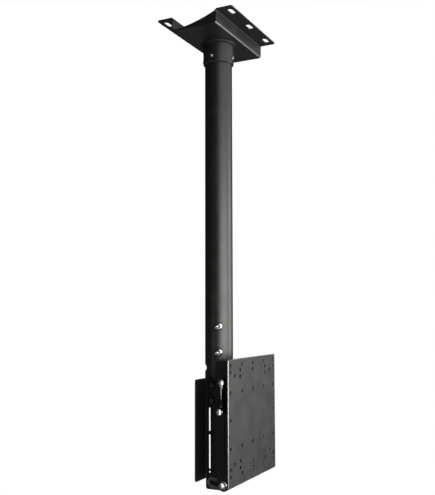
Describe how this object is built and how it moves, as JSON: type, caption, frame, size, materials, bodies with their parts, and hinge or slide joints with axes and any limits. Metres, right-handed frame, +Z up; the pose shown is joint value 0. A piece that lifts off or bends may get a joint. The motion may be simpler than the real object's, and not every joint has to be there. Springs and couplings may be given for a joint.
{
  "type": "tv ceiling mount",
  "caption": "Black steel ceiling mount: a folded hat plate, a long round pole and a swivelling, tilting head that carries a flat square screen plate with drilled hole grids.",
  "frame": {"origin": "centre of the ceiling plate's upper face, on the pole's axis", "axes": "+Z up towards the ceiling along the pole, -Y out of the screen plate's front, X along the plate's width"},
  "size_m": [0.222, 0.1652, 0.9229],
  "materials": {
    "black_coat": "fine textured black powder coat",
    "black_fastener": "black oxide",
    "zinc": "bright zinc plate",
    "nylon": "dark grey matt nylon"
  },
  "bodies": {
    "ceiling": {"ceiling_plate": "black_coat", "pole_collar": "black_coat", "collar_weld": "black_coat", "collar_screws": "zinc", "pole_tube": "black_coat", "pole_bosses": "black_coat", "pole_bolts": "zinc"},
    "head": {"spigot_tube": "black_coat", "stem_tube": "black_coat", "hanger_bracket": "black_coat", "hanger_bolts": "black_fastener", "hanger_washers": "black_fastener", "hanger_nuts": "black_fastener", "pivot_sleeves": "black_fastener", "pivot_discs": "nylon", "pivot_washers": "black_fastener", "pivot_bolts": "zinc", "pivot_nuts": "zinc", "tilt_pads": "nylon"},
    "screen": {"tilt_bracket": "black_coat", "vesa_plate": "black_coat", "levelling_bosses": "black_coat", "levelling_screws": "zinc", "lock_bolts": "zinc", "lock_washers": "zinc", "lock_plates": "black_coat", "lock_nuts": "zinc"}
  },
  "joints": [
    {"name": "pole_swivel", "type": "hinge", "parent": "ceiling", "child": "head", "pos_m": [0, 0, -0.6751], "axis": [0, 0, 1], "continuous": true},
    {"name": "plate_tilt", "type": "hinge", "parent": "head", "child": "screen", "pos_m": [0, -0.0265, -0.7714], "axis": [1, 0, 0], "range_deg": [0, 10]}
  ]
}
